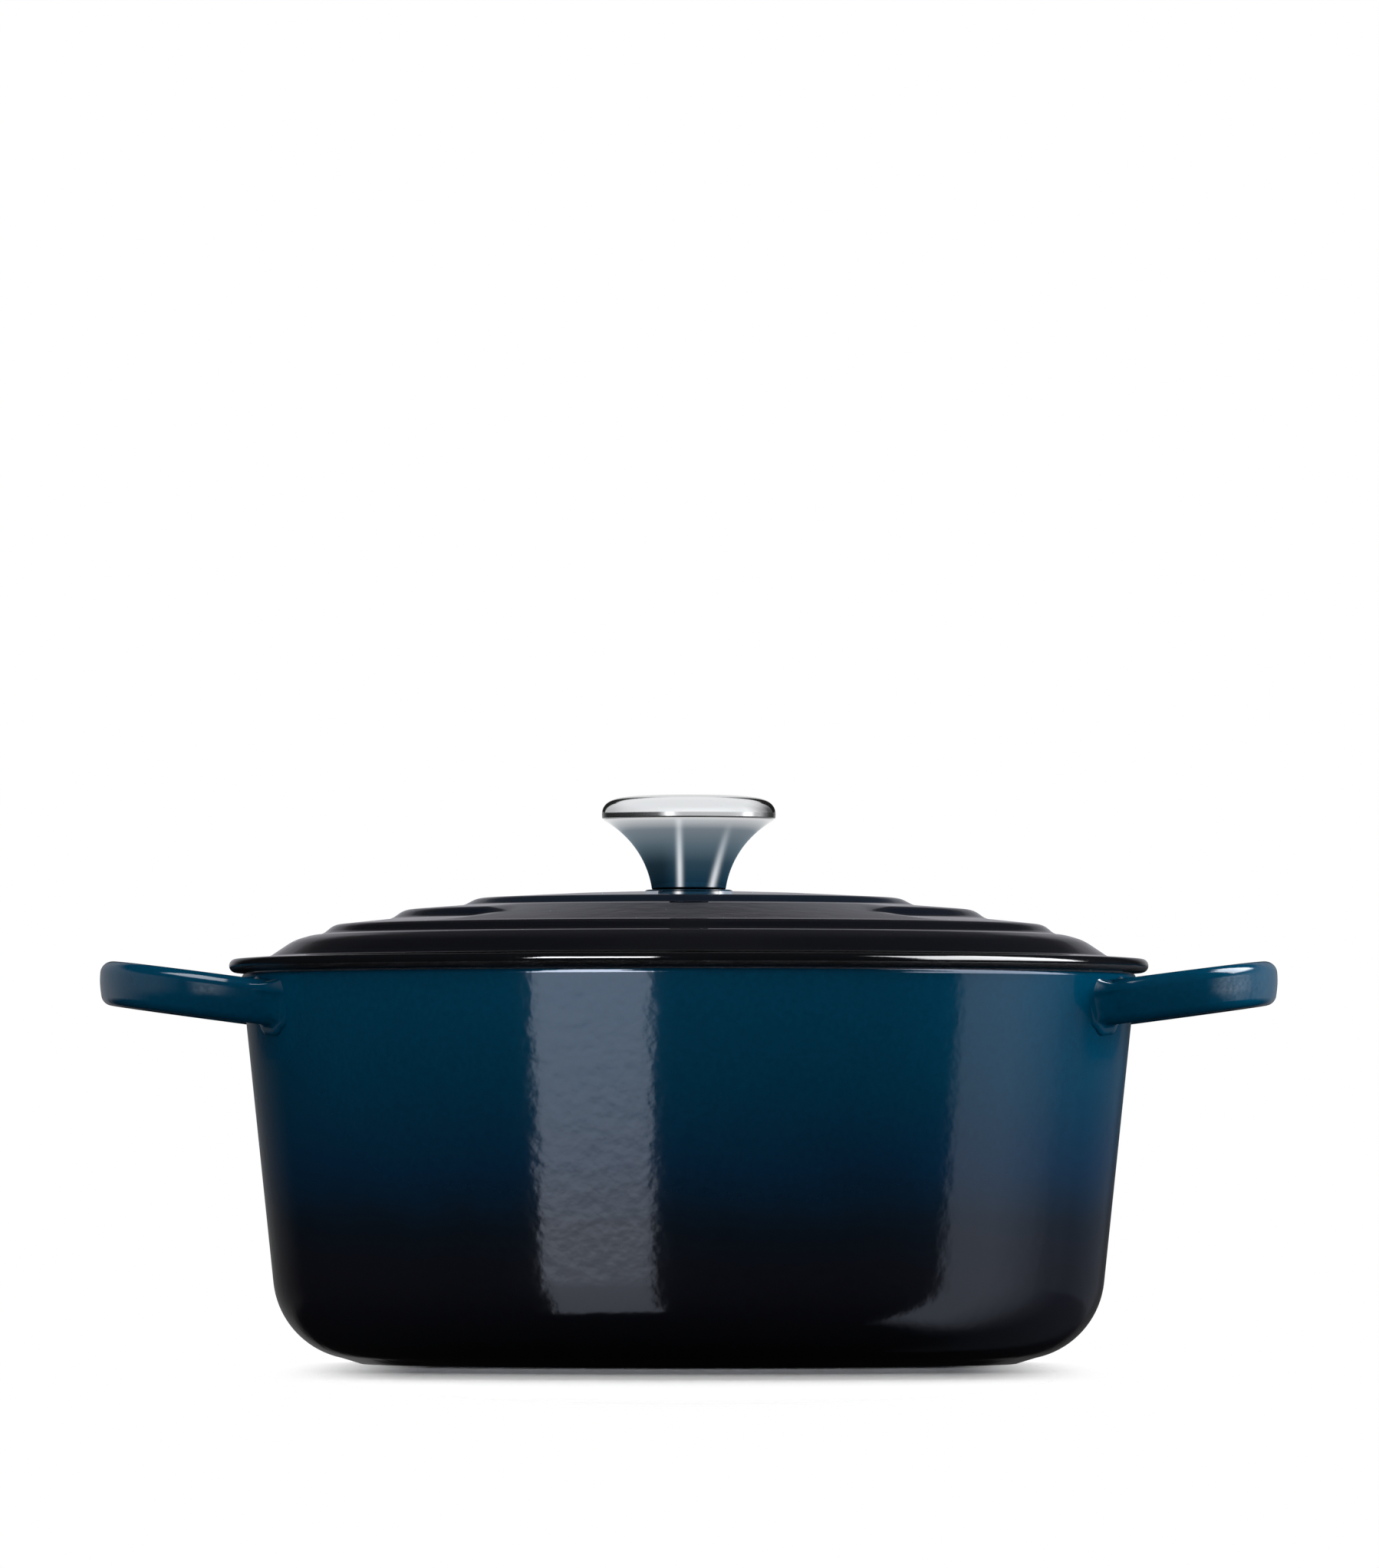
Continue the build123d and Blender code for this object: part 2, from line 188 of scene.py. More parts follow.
def handle_path(samples=1200):
    """Half of the loop's centre line, root to tip: length, out from the wall, across, heading."""
    corner, tip = CORNER_TURN * CORNER_BEND, TIP_TURN * TIP_BEND
    inset = BAR + CORNER_BEND
    flat = HALF_WIDTH - inset
    straight = REACH - inset - flat * (1 - np.sin(CORNER_TURN)) / np.cos(CORNER_TURN) + ROOT_STEP
    knots = np.cumsum([straight, corner, tip, corner, straight])
    length = np.linspace(0, knots[-1], samples)
    curvature = np.choose(np.searchsorted(knots[:-1], length),
                          [0, 1 / CORNER_BEND, 1 / TIP_BEND, 1 / CORNER_BEND, 0])
    curvature = np.convolve(np.pad(curvature, 60, mode="edge"), np.ones(121) / 121, mode="valid")
    heading = np.cumsum(curvature) * length[1]
    heading *= np.pi / heading[-1]
    out = np.cumsum(np.cos(heading)) * length[1] - ROOT_STEP
    across = -np.cumsum(np.sin(heading)) * length[1]
    across = (across - across[-1] / 2) * (HALF_WIDTH - BAR) * 2 / -across[-1]
    out *= (REACH - BAR) / out.max()
    half = np.arange(samples // 2)
    across[half[-1]], heading[half[-1]] = 0, np.pi / 2
    return length[half], out[half], across[half], heading[half]


path_length, path_out, path_across, path_heading = handle_path()
print("half the loop's centre line, mm", round(float(path_length[-1]), 1))

# %% [markdown]
# Where the bar meets the wall, the iron swells in a quarter circle. A Boolean union and a bevel could do it, but they
# often leave ragged faces. Here each line of the bar is slid along until it meets the wall's cone, and bent there.
# The swell is large on the sides, and small above and below, where the bar's edges run into the wall.

# %% The two loop handles
# The bar rises outwards, from a centre line that leaves the wall at radius START and height LEVEL.
RISE = np.radians(7.5)
START, LEVEL = 123.01, 100.26


def wall_meets(out, across, lift, distance):
    """Slides points along the bar until they stand `distance` off the wall's cone, by Newton's rule."""
    for _ in range(6):
        x = START + out * np.cos(RISE)
        z = LEVEL + out * np.sin(RISE) + lift
        radius = np.hypot(x, across)
        gap = (radius - cone(RIM, z)) * np.cos(LEAN_ANGLE) - distance
        out = out - gap / ((x * np.cos(RISE) / radius - LEAN * np.sin(RISE)) * np.cos(LEAN_ANGLE))
    return out


def loop_handle():
    """Grid of the right handle, one row for each station: a root and half the bar, then the same mirrored in Y."""
    swell_size = np.interp(section_normal[:, 1], [-1.0, -0.6, -0.2, 0.1, 0.5, 1.0], [1.0, 1.5, 4.0, 7.0, 7.5, 1.8])
    arc = np.radians(np.linspace(90, 0, 13))[:, None]
    sunk = np.array([[1.6, -0.5], [1.0, -0.2], [0.5, -0.05]])[:, :, None]
    swell = np.vstack([swell_size + sunk[:, 0], swell_size * (1 - np.cos(arc))])
    stand = np.vstack([0 * swell_size + sunk[:, 1], swell_size * (1 - np.sin(arc))])
    root_across = HALF_WIDTH - BAR + section[:, 0] + swell * section_normal[:, 0]
    root_lift = section[:, 1] + swell * section_normal[:, 1]
    root_out = wall_meets(-8.0 + 0 * root_across, root_across, root_lift, stand)
    root = np.stack([root_out, root_across, root_lift], axis=-1)
    buried = root[:1] - [ROOT_STEP, 0, 0]
    middle = np.broadcast_to(buried.mean(axis=1, keepdims=True), buried.shape)
    first = root_out[-1] - path_out[0]
    place = first + (path_length[-1] - first) * np.linspace(0, 1, 90)[1:, None]
    ahead = np.minimum(place, 0)
    turn = np.interp(place, path_length, path_heading)
    free = np.stack([np.interp(place, path_length, path_out) + ahead + section[:, 0] * np.sin(turn),
                     np.interp(place, path_length, path_across) + section[:, 0] * np.cos(turn),
                     section[:, 1] + 0 * turn], axis=-1)
    half = np.vstack([middle, buried, root, free])
    grid = np.vstack([half, half[-2::-1] * [1, -1, 1]])
    return np.stack([START + grid[..., 0] * np.cos(RISE) - grid[..., 2] * np.sin(RISE), grid[..., 1],
                     LEVEL + grid[..., 0] * np.sin(RISE) + grid[..., 2] * np.cos(RISE)], axis=-1)


loop = loop_handle()
right_loop = surface("right_loop_handle", loop, "pot", "right_handle")
left_loop = surface("left_loop_handle", loop * [-1, 1, 1], "pot", "left_handle")
handles = (right_loop, left_loop)

# %% [markdown]
# In the crook of each root the wall and the bar face each other, and the glaze there mirrors little but dark iron.
# Ray tracing would find that by itself in a real room. The glowing cards further down are shown to one piece at a
# time, so each point stores instead how far it hides in a crook, and the enamel reads that to lower its shine.

# %% Shelter in the crooks
def shelter(piece, hidden):
    """Stores how far each point hides in a crook, from 0 to 1. hidden works it out of (x, y, z) in mm, without sign."""
    spot = np.empty(len(piece.data.vertices) * 3)
    piece.data.vertices.foreach_get("co", spot)
    value = hidden(*np.abs(spot.reshape(-1, 3).T) / MM)
    piece.data.attributes.new("shelter", "FLOAT", "POINT").data.foreach_set("value", value.astype(np.float32))
    print(piece.name, int((value > 0.5).sum()), "points lie sheltered")


def on_handle(x, y, z):
    """1 at the wall, 0 from 15 mm off it and along the top of the bar."""
    below = np.clip((5.4 - z + LEVEL + (x - START) * np.tan(RISE)) / 1.6, 0, 1)
    return np.clip((15 - np.hypot(x, y) + cone(RIM, z)) / 11, 0, 1) * below


def on_wall(x, y, z):
    """1 within 8 mm of the bar's section, 0 from 12 mm."""
    aside, above = np.abs(y - HALF_WIDTH + BAR) * 1.08 - 7, np.abs(z - 98.4) - 6.1
    return np.clip((12 - np.hypot(np.maximum(aside, 0), np.maximum(above, 0))) / 4, 0, 1)


shelter(right_loop, on_handle)
shelter(left_loop, on_handle)
shelter(bowl, on_wall)

# %% [markdown]
# Inside, the pot wears a pale enamel 0.4 mm thick. A Solidify modifier on a copy of the bowl could make it.
# It has an outline of its own instead, because its upper edge stops below the rim and is softly rounded.

# %% The enamel inside the pot
LINING, LINING_EDGE = 0.4, 102.0
INSIDE, IRON = 120.0, 120.402  # IRON lies 0.002 mm inside the bowl's wall, so that the two faces never fight
inner = rounded_outline(
    [(0, BOTTOM + LINING), (cone(INSIDE, BOTTOM + LINING), BOTTOM + LINING), (cone(INSIDE, LINING_EDGE), LINING_EDGE),
     (cone(IRON, LINING_EDGE), LINING_EDGE), (cone(IRON, BOTTOM), BOTTOM), (0, BOTTOM)],
    [BOTTOM_ROUND - 3.8, 0.19, 0.19, BOTTOM_ROUND - 3.4], step=3.0)
pot_inside = surface("pot_inside_enamel", turned(inner), "pot", "pot_lining")

# %% [markdown]
# The lid is a stepped dome on a flat flange, with a lip underneath that drops into the pot.
# Three low steps ring the dome, and in front the middle one fades into a plain cone. That could be sculpted.
# A formula keeps it even: once the outline is turned, the height of the top is blended, over a sector, from the steps
# to that cone.

# %% The lid
SEAT, FLANGE, LIP_END = 108.0, 127.12, 103.5
HOLE, RECESS, UNDER_TOP, DOME_RADIUS = 3.5, 10.0, 126.6, 405.0
BOSS = 131.0
steps = [(58.6, 128.6), (62.4, 126.62), (78.8, 125.35), (82.3, 122.85), (98.2, 121.2), (101.2, 118.65)]
top_corners = [(HOLE, BOSS), (11.7, BOSS), (12.3, 130.55), (33.0, 129.9), *steps, (104.4, 118.32), (109.2, 116.95),
               (116.0, 112.4), (FLANGE, 111.65), (FLANGE, SEAT), (118.8, SEAT), (118.33, LIP_END), (114.8, LIP_END),
               (114.8, SEAT), (105.0, 115.3)]
top_radii = [0.4, 0.6, 60.0, 7.0, 5.0, 6.0, 5.0, 5.0, 4.0, 12.0, 14.0, 3.0, 1.8, 1.9, 0.3, 1.2, 1.2, 0.8]
lid_top = rounded_outline(top_corners, top_radii, step=1.6, bend=3.5)
dome_radius = np.linspace(105.0, RECESS, 40)[1:]
dome_height = UNDER_TOP - DOME_RADIUS + np.sqrt(DOME_RADIUS ** 2 - (dome_radius - RECESS) ** 2)
dome = np.stack([dome_radius, dome_height], axis=1)
lid_outline = np.vstack([lid_top, dome, [(HOLE, UNDER_TOP)]])


def smooth(t):
    """Eases from 0 to 1 as t runs from 0 to 1."""
    t = np.clip(t, 0, 1)
    return t * t * (3 - 2 * t)


def plain_front(points, top_rows):
    """Blends the steps into a straight cone over a sector about -Y, from one radius and height to another."""
    (near, near_height), (far, far_height) = (65.1, 126.41), (95.6, 121.47)
    radius = np.hypot(points[..., 0], points[..., 1])
    angle = np.degrees(np.abs(np.arctan2(points[..., 0], -points[..., 1])))
    cone_height = near_height + (radius - near) * (far_height - near_height) / (far - near)
    end = 38.0 + 5.0 * np.clip(np.abs(radius - 80.0) / 15.0, 0, 1)
    share = smooth((end + 7.0 - angle) / 7.0) * smooth((radius - 63.6) / 3.0) * smooth((97.1 - radius) / 3.0)
    share[top_rows:] = 0
    points[..., 2] += share * (cone_height - points[..., 2])
    return points


lid_points = plain_front(turned(lid_outline, 272), int(np.argmax(lid_outline[:, 0])))
lid = surface("lid_casting", lid_points, "lid", "lid", wrap_rows=True)

# %% [markdown]
# The lid's hollow wears the same pale enamel as the pot. Its upper side is the hollow's own outline and its lower side
# the same outline one coat deeper, so the two pieces fit without a gap.

# %% The enamel inside the lid
hollow = np.vstack([[(HOLE, UNDER_TOP)], dome[::-1], [(105.0, 115.3), (114.8, SEAT)]])
under = np.vstack([[(114.4, SEAT - LINING), (105.0, 114.9)], dome - [0, LINING], [(HOLE, UNDER_TOP - LINING)]])
lid_inside = surface("lid_inside_enamel", turned(np.vstack([hollow, under])), "lid", "lid_lining",
                     wrap_rows=True)

# %% [markdown]
# The knob is two pressings of stainless steel: a stem that flares like a trumpet, and a domed cap crimped on to it.
# Polished steel shows every flaw of a curve, so a spline drawn by eye would ripple. The stem is one arc through three
# measured points, and the cap is two arcs and one cubic curve that leave each other without a kink.

# %% Two curves for the knob
SEAM, CROWN = 150.7, 157.3


def arc_through(a, b, c, count):
    """Points on the circle through three points, from the first to the last."""
    (ax, ay), (bx, by), (cx, cy) = a, b, c
    d = 2 * (ax * (by - cy) + bx * (cy - ay) + cx * (ay - by))
    ux = ((ax**2 + ay**2) * (by - cy) + (bx**2 + by**2) * (cy - ay) + (cx**2 + cy**2) * (ay - by)) / d
    uy = ((ax**2 + ay**2) * (cx - bx) + (bx**2 + by**2) * (ax - cx) + (cx**2 + cy**2) * (bx - ax)) / d
    angles = np.unwrap(np.arctan2([ay - uy, by - uy, cy - uy], [ax - ux, bx - ux, cx - ux]))
    angle = np.linspace(angles[0], angles[2], count)
    return np.array([ux, uy]) + np.hypot(ax - ux, ay - uy) * np.stack([np.cos(angle), np.sin(angle)], axis=1)


def bezier(a, b, c, d, count):
    """Points of a cubic curve that leaves a towards b and reaches d from c."""
    t = np.linspace(0, 1, count)[:, None]
    a, b, c, d = (np.asarray(p, float) for p in (a, b, c, d))
    return a * (1 - t) ** 3 + 3 * b * t * (1 - t) ** 2 + 3 * c * t ** 2 * (1 - t) + d * t ** 3


flare = arc_through((10.2, BOSS), (14.72, 142.43), (23.2, SEAM - 0.7), 60)
print("flare", len(flare), "points, mm", np.round(flare[0], 1).tolist(), "to", np.round(flare[-1], 1).tolist())

# %% [markdown]
# The stem's lip and the cap's edge are rounded by a hair where they meet, which leaves the fine line of a crimped seam.
# Both outlines are then turned like the bowl, the stem as a thin shell and the cap closed below.

# %% The knob
foot_roll = [(9.6, BOSS), (10.0, BOSS + 0.04), (10.18, BOSS + 0.2)]
lip = bezier(flare[-1], flare[-1] + [0.4, 0.3], (23.75, SEAM - 0.15), (23.3, SEAM - 0.02), 9)
stem_outline = np.vstack([foot_roll, flare[1:-1], lip, [(23.0, SEAM), (21.9, SEAM)],
                          flare[::-1][2:-3] - [1.6, -0.2], [(8.6, BOSS + 0.6)]])
stem = surface("knob_flared_stem", turned(stem_outline, 160), "knob", "knob_stem", wrap_rows=True)
belly = arc_through((23.98, SEAM + 0.12), (24.03, SEAM + 0.65), (24.05, SEAM + 1.25), 10)
side = np.vstack([belly, arc_through(belly[-1], (23.55, SEAM + 3.2), (22.2, SEAM + 4.6), 20)[1:]])
run = (side[-1] - side[-2]) / np.linalg.norm(side[-1] - side[-2])
crest = bezier(side[-1], side[-1] + 3.0 * run, (14.5, CROWN - 0.1), (0, CROWN - 0.1), 40)
cap_outline = np.vstack([[(0, SEAM), (22.0, SEAM), (23.3, SEAM), (23.7, SEAM + 0.03)], side, crest[1:]])
cap = surface("knob_domed_cap", turned(cap_outline, 160), "knob", "knob_cap")

# %% [markdown]
# Under the lid a pan head screw holds the knob: it passes a spring washer, a flat washer and the lid, and bites into a
# threaded bush in the knob's foot. A Screw modifier could wind the thread and a Boolean could cut the cross slot.
# Pushing the points of one turned grid does both, and keeps the piece closed.

# %% The screw
HEAD, TIP, SHANK, PITCH = 123.4, 143.4, 2.95, 1.0
FACE_ROWS, SHANK_ROWS = 60, 240


def screw_points(columns=72):
    """A turned pan head screw: the face sinks by the cross slot's depth, the shank swings out and in along a helix."""
    face = np.stack([np.linspace(0, 4.8, FACE_ROWS), np.full(FACE_ROWS, HEAD - 3.8)], axis=1)
    edge = rounded_outline([(4.8, HEAD - 3.8), (6.0, HEAD - 3.8), (6.0, HEAD), (SHANK, HEAD)], [1.1, 0.2], step=0.5)
    shank = np.stack([np.full(SHANK_ROWS, SHANK), np.linspace(HEAD + 0.05, TIP - 0.7, SHANK_ROWS)], axis=1)
    tip = np.array([(2.3, TIP), (0, TIP)])
    points = turned(np.vstack([face, edge[1:], shank, tip]), columns)
    slot = np.abs(points[:FACE_ROWS, :, :2])
    arm = lambda a, b: smooth((0.75 - a) / 0.25) * smooth((3.3 - b) / 0.5)
    points[:FACE_ROWS, :, 2] += 2.0 * np.maximum(arm(slot[..., 0], slot[..., 1]), arm(slot[..., 1], slot[..., 0]))
    first = FACE_ROWS + len(edge) - 1
    grid = points[first:first + SHANK_ROWS]
    turn = np.arctan2(grid[..., 1], grid[..., 0]) / (2 * np.pi)
    ridge = np.abs(((grid[..., 2] / PITCH - turn) % 1.0) * 2 - 1)
    grid[..., :2] *= (1 - 0.17 * smooth(1.2 - 1.4 * ridge) * smooth((grid[..., 2] - HEAD - 1) / 1.5))[..., None]
    return points


screw = surface("knob_pan_screw", screw_points(), "screw", "knob_screw")

# %% [markdown]
# The flat washer and the bush are turned like the rest. The spring washer is one turn of square wire with a
# slanted cut. A Boolean could make the cut, but it is enough to carry the wire's section from one side of the cut
# to the other and close both ends.

# %% The washers and the bush
washer_outline = rounded_outline(
    [(5.6, 125.0), (8.0, 125.0), (8.0, 126.2), (3.2, 126.2), (3.2, 125.0), (5.6, 125.0)], [0.3] * 4, step=0.8)[:-1]
washer = surface("lid_flat_washer", turned(washer_outline, 96), "lid", "flat_washer", wrap_rows=True)
bush_outline = rounded_outline(
    [(4.0, BOSS), (8.5, BOSS), (8.5, BOSS + 3), (5.5, BOSS + 3), (5.5, BOSS + 14), (3.1, BOSS + 14), (3.1, BOSS),
     (4.0, BOSS)], [0.4, 0.4, 0.3, 0.4, 0.4, 0.5], step=0.8)[:-1]
bush = surface("knob_thread_bush", turned(bush_outline, 96), "knob", "knob_bush", wrap_rows=True)


def split_ring():
    """A square section with eased edges carried round the axis, with a slanted gap towards -Y."""
    wire = rounded_outline(
        [(4.5, HEAD), (5.9, HEAD), (5.9, 125.0), (3.1, 125.0), (3.1, HEAD), (4.5, HEAD)], [0.3] * 4, step=0.5)[:-1]
    half_gap, slant = 5.5, 0.07
    turn = np.radians(np.linspace(-90 + half_gap, 270 - half_gap, 120))[:, None]
    angle = turn + (wire[:, 1] - 124.2) * slant
    ring = np.stack([wire[:, 0] * np.cos(angle), wire[:, 0] * np.sin(angle), wire[:, 1] + 0 * angle], axis=-1)
    ends = [np.broadcast_to(row.mean(0), row.shape)[None] for row in (ring[0], ring[-1])]
    return np.vstack([ends[0], ring, ends[1]])


spring = surface("screw_spring_washer", split_ring(), "screw", "spring_washer")
pieces = (bowl, *handles, pot_inside, lid, lid_inside, stem, cap, bush, washer, spring, screw)

# %% [markdown]
# Now the finishes. Colours are written as sRGB hex values, as a designer would note them, and turned to linear light
# here. Nodes could be wired by hand in the Shader Editor. In a script one helper adds a node, sets its values and links
# what it is given, so each material reads as a short recipe. Every pattern's scale is one over its size in metres.

# %% Colour and node helpers
def linear(code):
    """An sRGB hex value as linear red, green, blue and alpha."""
    value = np.array([int(code[i:i + 2], 16) for i in (1, 3, 5)]) / 255
    return (*np.where(value <= 0.04045, value / 12.92, ((value + 0.055) / 1.055) ** 2.4), 1.0)


def add_node(tree, kind, inputs=None, stops=(), **settings):
    """Adds one node. inputs, by name or number, are values, output sockets, or nodes that stand for their first output.
    stops are a colour ramp's (position, hex colour), and settings are the node's own properties."""
    node = tree.nodes.new("ShaderNode" + kind)
    for key, value in settings.items():
        setattr(node, key, value)
    for key, value in (inputs or {}).items():
        value = value.outputs[0] if isinstance(value, bpy.types.Node) else value
        if isinstance(value, bpy.types.NodeSocket):
            tree.links.new(value, node.inputs[key])
        else:
            node.inputs[key].default_value = value
    if stops:
        elements = node.color_ramp.elements
        for _ in stops[2:]:
            elements.new(0.5)
        for element, (position, code) in zip(elements, stops):
            element.position, element.color = position, linear(code)
    return node


def start_material(name):
    """An empty node material, its node tree, and the place of each point on its piece."""
    material = bpy.data.materials.new(name)
    material.use_nodes = True
    tree = material.node_tree
    tree.nodes.clear()
    return material, tree, add_node(tree, "TexCoord").outputs["Object"]


def finish_material(material, inputs):
    """Ends a recipe with a Principled shader that has these inputs, and an output."""
    tree = material.node_tree
    shader = add_node(tree, "BsdfPrincipled", inputs)
    add_node(tree, "OutputMaterial", {"Surface": shader})
    print(material.name, len(tree.nodes), "nodes")
    return material


print("teal in linear light", np.round(linear("#003a54"), 4).tolist())

# %% [markdown]
# The pot's enamel is glass, sprayed on and fired. A blue-green coat fades to near black towards the foot.
# A painted image could give the fade. Height does it here without any seam, and noise shifts the height that the colour
# is read at, which mottles the fade as overlapping passes of a spray gun do.

# %% Sprayed vitreous enamel, blue-green to black
def fired_relief(tree, place, waves, share, depth):
    """The normal of fired glass, which never lies quite flat: slow waves and a share of a grain 1.8 mm wide."""
    slow = add_node(tree, "TexNoise", {"Vector": place, **waves})
    grain = add_node(tree, "TexNoise", {"Vector": place, "Scale": 1 / 0.0018, "Detail": 1.0})
    relief = add_node(tree, "Math", {0: grain, 1: share, 2: slow}, operation="MULTIPLY_ADD")
    return add_node(tree, "Bump", {"Height": relief, "Strength": 1.0, "Distance": depth})


def sprayed_enamel():
    """Gives the eye deep colour under a hard shine: waves 4 mm long and a grain of 2 mm make the reflections ragged."""
    material, tree, place = start_material("vitreous_enamel_sprayed_teal")
    drift = add_node(tree, "TexNoise", {"Vector": place, "Scale": 1 / 0.045, "Detail": 4.0, "Roughness": 0.6})
    height = add_node(tree, "SeparateXYZ", {0: place}).outputs["Z"]
    shift = add_node(tree, "Math", {0: drift, 1: 0.014, 2: height}, operation="MULTIPLY_ADD")
    level = add_node(tree, "MapRange", {"Value": shift, "From Min": 0.007, "From Max": 0.117})
    colour = add_node(tree, "ValToRGB", {"Fac": level}, [
        (0.05, "#0d0e13"), (0.24, "#101118"), (0.35, "#0c151f"), (0.5, "#05233a"), (0.7, "#003047"), (0.97, "#003a54")])
    fleck = add_node(tree, "TexNoise", {"Vector": place, "Scale": 1 / 0.0016, "Detail": 3.0})
    tint = add_node(tree, "MapRange", {"Value": fleck, "To Min": 0.8, "To Max": 1.2})
    base = add_node(tree, "Mix", {0: 1.0, 6: colour, 7: tint}, data_type="RGBA", blend_type="MULTIPLY")
    normal = fired_relief(tree, place, {"Scale": 1 / 0.0038, "Detail": 1.0, "Roughness": 0.4}, 0.3, 0.00005)
    hidden = add_node(tree, "Attribute", attribute_name="shelter")
    shine = add_node(tree, "MapRange", {"Value": hidden.outputs["Fac"], "To Min": 0.5, "To Max": 0.03})
    return finish_material(material, {"Base Color": base.outputs[2], "Normal": normal, "Roughness": 0.1, "IOR": 1.52,
                                      "Specular IOR Level": shine})


pot_enamel = sprayed_enamel()

# %% [markdown]
# The lid wears the same kind of glass in charcoal, with a breath of blue-green round the knob.
# That tint could be painted in. The distance from the axis gives it here, and noise breaks up its edge.

# %% Dark vitreous enamel of the lid
def from_axis(tree, place):
    """Distance of a point from the Z axis."""
    flat = add_node(tree, "VectorMath", {0: place, 1: (1, 1, 0)}, operation="MULTIPLY")
    return add_node(tree, "VectorMath", {0: flat}, operation="LENGTH").outputs["Value"]


def lid_glaze():
    """Gives the eye a black mirror that is not quite flat, with colour only near the middle."""
    material, tree, place = start_material("vitreous_enamel_charcoal")
    mottle = add_node(tree, "TexNoise", {"Vector": place, "Scale": 1 / 0.03, "Detail": 4.0})
    shift = add_node(tree, "Math", {0: mottle, 1: 0.012, 2: from_axis(tree, place)}, operation="MULTIPLY_ADD")
    level = add_node(tree, "MapRange", {"Value": shift, "From Min": 0.0, "From Max": 0.13})
    colour = add_node(tree, "ValToRGB", {"Fac": level}, [
        (0.2, "#0b2433"), (0.55, "#101722"), (0.8, "#121318"), (1.0, "#0e0f12")])
    normal = fired_relief(tree, place, {"Scale": 1 / 0.006, "Detail": 2.0}, 0.22, 0.00004)
    return finish_material(material, {"Base Color": colour, "Normal": normal, "Roughness": 0.07, "IOR": 1.5})


lid_enamel = lid_glaze()

# %% [markdown]
# Where the lid sits on the pot, both rims show only the ground coat, the first thin layer of enamel on the iron.
# It is dull and a little rough to the touch. Three separate patterns could draw that. One fine noise drives its
# colour, its dullness and its grain together, so that each pale speck is also a dull bump.

# %% Matte black ground enamel on the rims
def ground_coat():
    """Gives the eye a dry black with pale specks, which sets the glossy coats off."""
    material, tree, place = start_material("ground_enamel_matte_black")
    speck = add_node(tree, "TexNoise", {"Vector": place, "Scale": 1 / 0.0007, "Detail": 3.0})
    colour = add_node(tree, "ValToRGB", {"Fac": speck}, [
        (0.42, "#0a0a0c"), (0.6, "#141417"), (0.72, "#2c2c30")])
    dull = add_node(tree, "MapRange", {"Value": speck, "To Min": 0.3, "To Max": 0.6})
    bump = add_node(tree, "Bump", {"Height": speck, "Strength": 1.0, "Distance": 0.00006})
    return finish_material(material, {"Base Color": colour, "Normal": bump, "Roughness": dull})


rim_enamel = ground_coat()

# %% [markdown]
# The inside is glazed in a sand colour, so that a cook can see the food brown. A plain colour would look like
# plastic, so faint specks lie under the gloss and slow waves bend its reflections.

# %% Sand coloured enamel inside
def sand_glaze():
    """Gives the eye a warm, glossy pale ground with specks of a millimetre and slow waves of 7 mm."""
    material, tree, place = start_material("vitreous_enamel_sand")
    speck = add_node(tree, "TexNoise", {"Vector": place, "Scale": 1 / 0.0012, "Detail": 4.0})
    colour = add_node(tree, "ValToRGB", {"Fac": speck}, [
        (0.25, "#cbbf9f"), (0.5, "#ddd2b6"), (0.75, "#e6dcc4")])
    waves = add_node(tree, "TexNoise", {"Vector": place, "Scale": 1 / 0.007, "Detail": 2.0})
    bump = add_node(tree, "Bump", {"Height": waves, "Strength": 1.0, "Distance": 0.00004})
    return finish_material(material, {"Base Color": colour, "Normal": bump, "Roughness": 0.12, "IOR": 1.52})


inside_enamel = sand_glaze()

# %% [markdown]
# The knob is polished stainless steel and the fasteners are plain turned steel. Both spin on a lathe, so their fine
# lines run round the axis: noise that is read at (radius, 0, height) is the same all the way round.
# Real polishing lines are finer than the picture can show, so they are drawn 0.3 to 0.4 mm apart.

# %% Polished stainless steel, and plain turned steel
def steel(name, code, rough_low, rough_high, line, depth):
    """Gives the eye a bright metal mirror, smeared a little where fingers and cloths have passed."""
    material, tree, place = start_material(name)
    smear = add_node(tree, "TexNoise", {"Vector": place, "Scale": 1 / 0.012, "Detail": 3.0})
    dull = add_node(tree, "MapRange", {"Value": smear, "To Min": rough_low, "To Max": rough_high})
    height = add_node(tree, "SeparateXYZ", {0: place}).outputs["Z"]
    ring = add_node(tree, "CombineXYZ", {"X": from_axis(tree, place), "Z": height})
    lines = add_node(tree, "TexNoise", {"Vector": ring, "Scale": 1 / line, "Detail": 2.0})
    bump = add_node(tree, "Bump", {"Height": lines, "Strength": 1.0, "Distance": depth})
    return finish_material(material, {"Base Color": linear(code), "Metallic": 1.0, "Roughness": dull, "Normal": bump})


knob_steel = steel("stainless_steel_polished", "#c9cbcd", 0.06, 0.12, 0.0004, 0.000001)
plain_steel = steel("stainless_steel_turned", "#b4b6b8", 0.22, 0.34, 0.0003, 0.000004)

# %% [markdown]
# Each piece gets its finish, and the two castings get the ground coat as a second one on their rims.
# The faces could be picked by hand in Edit Mode. A rule on radius, height and lean picks the same ones on every run.

# %% Put the finishes on
for piece, material in ((bowl, pot_enamel), (right_loop, pot_enamel), (left_loop, pot_enamel), (lid, lid_enamel),
                        (pot_inside, inside_enamel), (lid_inside, inside_enamel), (stem, knob_steel), (cap, knob_steel),
                        (bush, plain_steel), (washer, plain_steel), (spring, plain_steel), (screw, plain_steel)):
    piece.data.materials.append(material)


